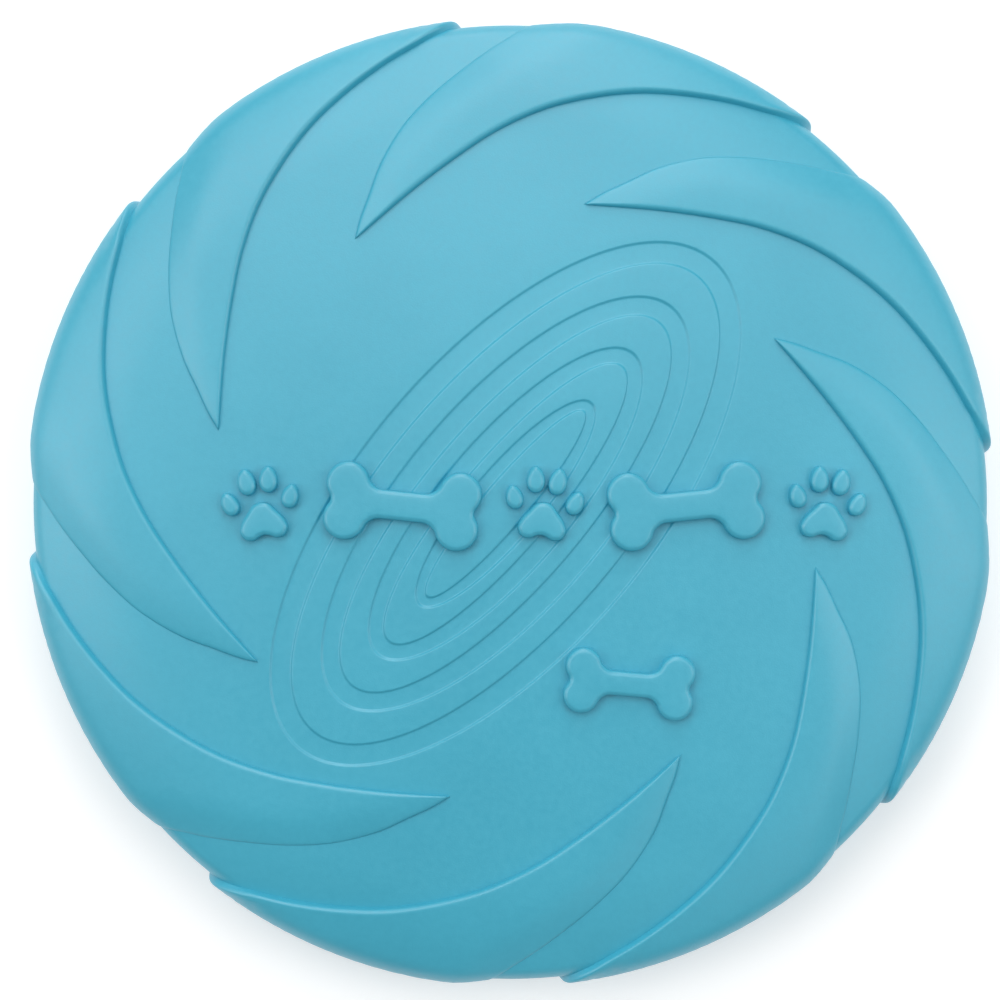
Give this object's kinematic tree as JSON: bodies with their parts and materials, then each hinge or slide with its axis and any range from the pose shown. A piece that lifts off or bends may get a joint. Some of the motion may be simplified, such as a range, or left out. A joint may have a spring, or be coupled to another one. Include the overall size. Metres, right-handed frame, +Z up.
{
  "type": "rubber flying disc",
  "caption": "Soft rubber throw-and-fetch flying disc: domed plate, rolled rim, raised swirl vanes over the rim, shallow oval grooves and raised paw and bone shapes on top.",
  "frame": {"origin": "centre of the rim, on the surface the disc rests on", "axes": "+Z up through the crown, the disc's spin axis; +X to the right and +Y away as the raised row of shapes is read from above"},
  "size_m": [0.1798, 0.1798, 0.0235],
  "materials": {
    "rubber": "satin moulded rubber with a fine matte grain"
  },
  "bodies": {
    "root": {"flight_plate": "rubber", "rim": "rubber", "vane_1": "rubber", "vane_2": "rubber", "vane_3": "rubber", "vane_4": "rubber", "vane_5": "rubber", "vane_6": "rubber", "vane_7": "rubber", "vane_8": "rubber", "paw_left": "rubber", "bone_left": "rubber", "paw_middle": "rubber", "bone_right": "rubber", "paw_right": "rubber", "bone_small": "rubber"}
  },
  "joints": []
}
